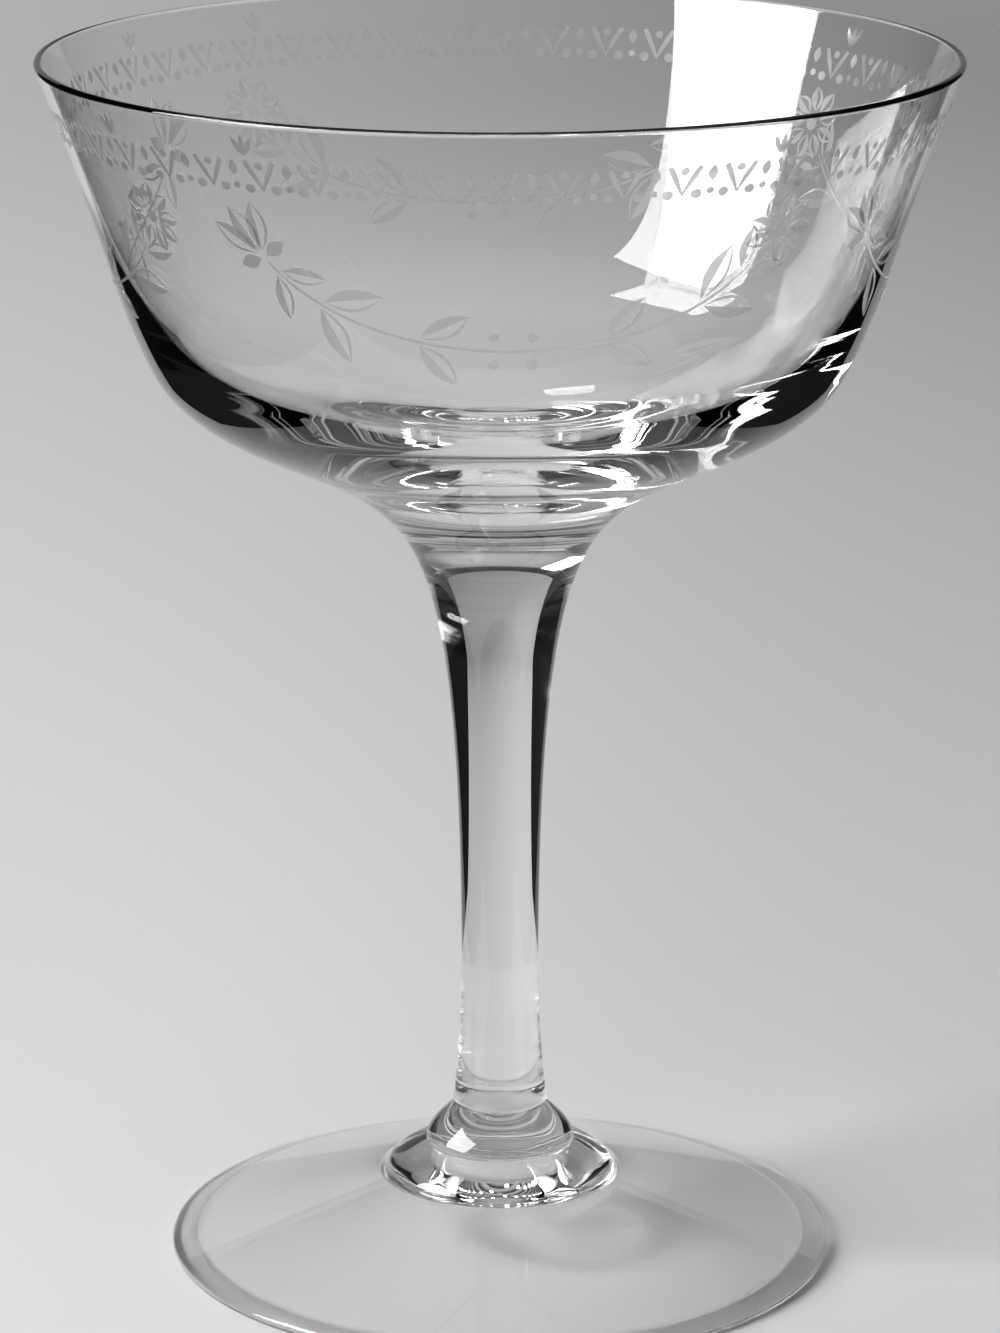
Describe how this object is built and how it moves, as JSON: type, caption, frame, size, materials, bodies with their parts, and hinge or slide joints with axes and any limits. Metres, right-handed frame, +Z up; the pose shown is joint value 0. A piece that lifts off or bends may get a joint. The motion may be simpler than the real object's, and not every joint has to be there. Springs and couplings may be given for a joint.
{
  "type": "coupe glass",
  "caption": "Clear stemmed coupe glass: a flared shallow bowl with a thick base on a solid drawn stem, with a knop and a spreading round foot to stand on.",
  "frame": {"origin": "centre of the flat resting ring under the foot, on the surface that the glass stands on", "axes": "+Z up along the axis of the stem, from the foot to the rim; the glass is turned about Z, so X and Y are alike"},
  "size_m": [0.094, 0.094, 0.1275],
  "materials": {
    "clear_glass": "clear, fire-polished; the bowl carries fine frosted ornament in the visual model"
  },
  "bodies": {
    "root": {"bowl": "clear_glass", "stem": "clear_glass", "knop": "clear_glass", "foot": "clear_glass"}
  },
  "joints": []
}
